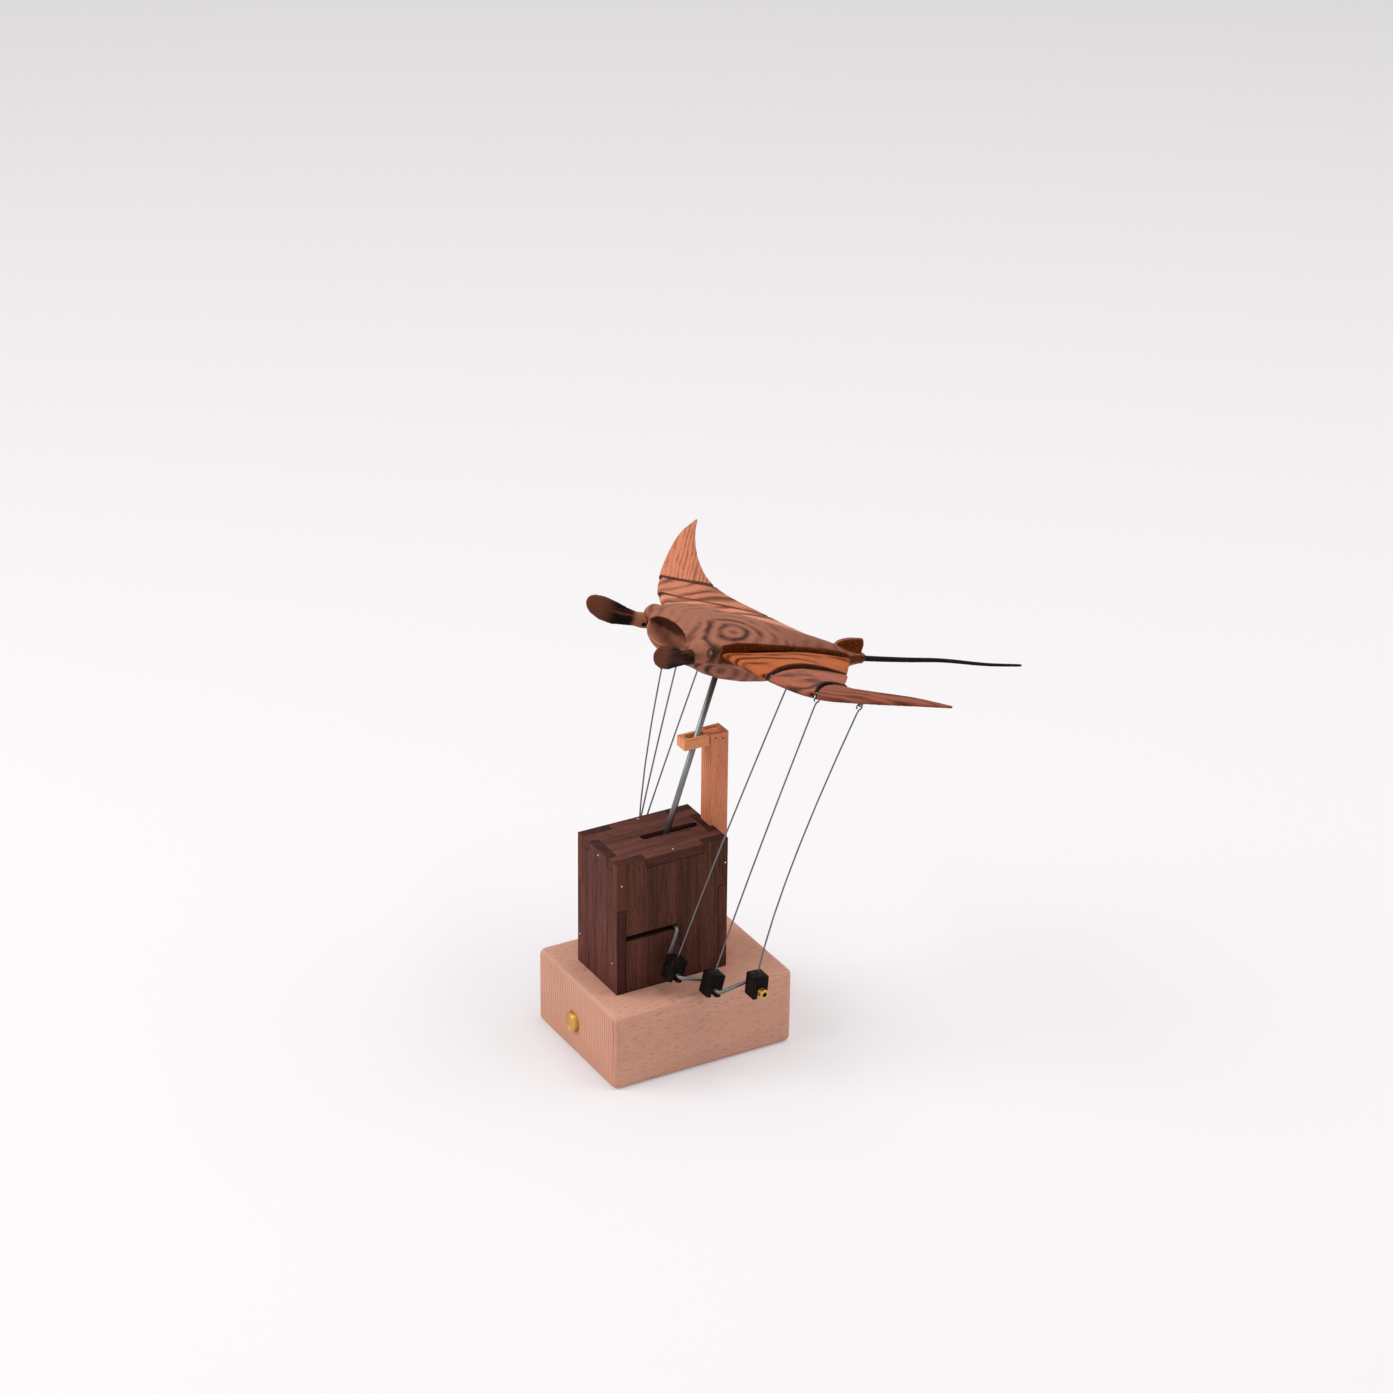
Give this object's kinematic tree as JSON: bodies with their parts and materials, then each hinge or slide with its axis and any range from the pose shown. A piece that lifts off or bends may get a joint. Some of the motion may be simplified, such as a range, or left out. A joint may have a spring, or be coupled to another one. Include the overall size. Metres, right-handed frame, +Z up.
{
  "type": "kinetic wooden manta ray automaton",
  "caption": "Motor-driven wooden automaton: a bent steel crank in a box on a block base lifts a manta ray on a rod and flaps its jointed wings through thin wires.",
  "frame": {"origin": "middle of the base's underside", "axes": "+Z up, X across the ray with +X its right side, the ray's head looks along -Y and its tail along +Y"},
  "size_m": [0.2404, 0.2566, 0.2305],
  "materials": {
    "beech": "oiled, satin",
    "walnut": "oiled, satin",
    "cherry": "oiled, satin",
    "ebony": "oiled, satin",
    "zebrano": "oiled, satin, dark rings",
    "dark_wood": "oiled, satin",
    "steel": "bright drawn wire",
    "brass": "turned",
    "nylon": "moulded",
    "plastic": "moulded"
  },
  "bodies": {
    "stand": {"base_block": "beech", "base_cover": "beech", "cover_screw_front": "steel", "cover_screw_rear": "steel", "power_switch": "plastic", "battery_box": "plastic", "left_plate": "walnut", "right_plate": "walnut", "front_plate": "walnut", "back_plate": "walnut", "top_plate": "walnut", "guide_post": "cherry", "guide_fork": "cherry", "shaft_bearing_left": "nylon", "shaft_bearing_right": "nylon", "gear_motor": "steel", "motor_cradle": "plastic"},
    "button": {"power_button": "brass"},
    "crank": {"crankshaft": "steel", "crank_collar_left": "brass", "crank_collar_right": "brass", "crank_gear": "nylon"},
    "pinion": {"motor_pinion": "brass"},
    "ray": {"main_rod": "steel", "rod_block": "ebony", "ray_body": "zebrano", "tail": "ebony", "head_fin_left": "dark_wood", "head_fin_right": "dark_wood", "hinge_pin_inner_left": "steel", "hinge_pin_inner_right": "steel"},
    "rider_inner_left": {"pushrod_block_inner_left": "ebony", "pushrod_inner_left": "steel"},
    "rider_middle_left": {"pushrod_block_middle_left": "ebony", "pushrod_middle_left": "steel"},
    "rider_outer_left": {"pushrod_block_outer_left": "ebony", "pushrod_outer_left": "steel"},
    "rider_inner_right": {"pushrod_block_inner_right": "ebony", "pushrod_inner_right": "steel"},
    "rider_middle_right": {"pushrod_block_middle_right": "ebony", "pushrod_middle_right": "steel"},
    "rider_outer_right": {"pushrod_block_outer_right": "ebony", "pushrod_outer_right": "steel"},
    "wing_inner_left": {"wing_inner_left": "zebrano", "screw_eye_inner_left": "steel", "hinge_pin_middle_left": "steel"},
    "wing_middle_left": {"wing_middle_left": "zebrano", "screw_eye_middle_left": "steel", "hinge_pin_outer_left": "steel"},
    "wing_outer_left": {"wing_outer_left": "zebrano", "screw_eye_outer_left": "steel"},
    "wing_inner_right": {"wing_inner_right": "zebrano", "screw_eye_inner_right": "steel", "hinge_pin_middle_right": "steel"},
    "wing_middle_right": {"wing_middle_right": "zebrano", "screw_eye_middle_right": "steel", "hinge_pin_outer_right": "steel"},
    "wing_outer_right": {"wing_outer_right": "zebrano", "screw_eye_outer_right": "steel"}
  },
  "joints": [
    {"name": "button_press", "type": "slide", "parent": "stand", "child": "button", "axis": [0, 1, 0], "range_m": [0, 0.001], "stiffness_N_per_m": 300},
    {"name": "crank_turn", "type": "hinge", "parent": "stand", "child": "crank", "pos_m": [0, -0.0058, 0.07], "axis": [1, 0, 0], "continuous": true, "deforming": ["pushrod_inner_left", "pushrod_middle_left", "pushrod_outer_left", "pushrod_inner_right", "pushrod_middle_right", "pushrod_outer_right"]},
    {"name": "pinion_turn", "type": "hinge", "parent": "stand", "child": "pinion", "pos_m": [0, -0.0058, 0.0484], "axis": [1, 0, 0], "continuous": true},
    {"name": "ray_lift", "type": "slide", "parent": "stand", "child": "ray", "axis": [0, 0.3168, 0.9485], "range_m": [0, 0.0257], "deforming": ["pushrod_inner_left", "pushrod_middle_left", "pushrod_outer_left", "pushrod_inner_right", "pushrod_middle_right", "pushrod_outer_right"]},
    {"name": "rider_turn_inner_left", "type": "hinge", "parent": "crank", "child": "rider_inner_left", "pos_m": [-0.03, -0.01231, 0.05162], "axis": [1, 0, 0], "continuous": true},
    {"name": "rider_turn_middle_left", "type": "hinge", "parent": "crank", "child": "rider_middle_left", "pos_m": [-0.045, 0.00052, 0.04736], "axis": [1, 0, 0], "continuous": true},
    {"name": "rider_turn_outer_left", "type": "hinge", "parent": "crank", "child": "rider_outer_left", "pos_m": [-0.06, 0.01708, 0.04983], "axis": [1, 0, 0], "continuous": true},
    {"name": "rider_turn_inner_right", "type": "hinge", "parent": "crank", "child": "rider_inner_right", "pos_m": [0.03, -0.01231, 0.05162], "axis": [1, 0, 0], "continuous": true},
    {"name": "rider_turn_middle_right", "type": "hinge", "parent": "crank", "child": "rider_middle_right", "pos_m": [0.045, 0.00052, 0.04736], "axis": [1, 0, 0], "continuous": true},
    {"name": "rider_turn_outer_right", "type": "hinge", "parent": "crank", "child": "rider_outer_right", "pos_m": [0.06, 0.01708, 0.04983], "axis": [1, 0, 0], "continuous": true},
    {"name": "wing_root_left", "type": "hinge", "parent": "ray", "child": "wing_inner_left", "pos_m": [-0.01724, 0.04407, 0.20404], "axis": [0.2236, 0.913, -0.3413], "range_deg": [-20, 18], "deforming": ["pushrod_inner_left", "pushrod_middle_left", "pushrod_outer_left"]},
    {"name": "wing_middle_left", "type": "hinge", "parent": "wing_inner_left", "child": "wing_middle_left", "pos_m": [-0.04102, 0.0514, 0.20175], "axis": [0.282, 0.9055, -0.3171], "range_deg": [-20, 20], "deforming": ["pushrod_middle_left", "pushrod_outer_left"]},
    {"name": "wing_tip_left", "type": "hinge", "parent": "wing_middle_left", "child": "wing_outer_left", "pos_m": [-0.06613, 0.04977, 0.20501], "axis": [0.4133, 0.8781, -0.2411], "range_deg": [-20, 20], "deforming": ["pushrod_outer_left"]},
    {"name": "wing_root_right", "type": "hinge", "parent": "ray", "child": "wing_inner_right", "pos_m": [0.01724, 0.04407, 0.20404], "axis": [0.2236, -0.913, 0.3413], "range_deg": [-20, 18], "deforming": ["pushrod_inner_right", "pushrod_middle_right", "pushrod_outer_right"]},
    {"name": "wing_middle_right", "type": "hinge", "parent": "wing_inner_right", "child": "wing_middle_right", "pos_m": [0.04102, 0.0514, 0.20175], "axis": [0.282, -0.9055, 0.3171], "range_deg": [-20, 20], "deforming": ["pushrod_middle_right", "pushrod_outer_right"]},
    {"name": "wing_tip_right", "type": "hinge", "parent": "wing_middle_right", "child": "wing_outer_right", "pos_m": [0.06613, 0.04977, 0.20501], "axis": [0.4133, -0.8781, 0.2411], "range_deg": [-20, 20], "deforming": ["pushrod_outer_right"]}
  ],
  "couplings": [
    {"joint": "pinion_turn", "follows": "crank_turn", "ratio": -3},
    {"joint": "rider_turn_inner_left", "follows": "crank_turn", "ratio": -1},
    {"joint": "rider_turn_middle_left", "follows": "crank_turn", "ratio": -1},
    {"joint": "rider_turn_outer_left", "follows": "crank_turn", "ratio": -1},
    {"joint": "rider_turn_inner_right", "follows": "crank_turn", "ratio": -1},
    {"joint": "rider_turn_middle_right", "follows": "crank_turn", "ratio": -1},
    {"joint": "rider_turn_outer_right", "follows": "crank_turn", "ratio": -1},
    {"joint": "wing_root_right", "follows": "wing_root_left", "ratio": 1},
    {"joint": "wing_middle_right", "follows": "wing_middle_left", "ratio": 1},
    {"joint": "wing_tip_right", "follows": "wing_tip_left", "ratio": 1}
  ]
}
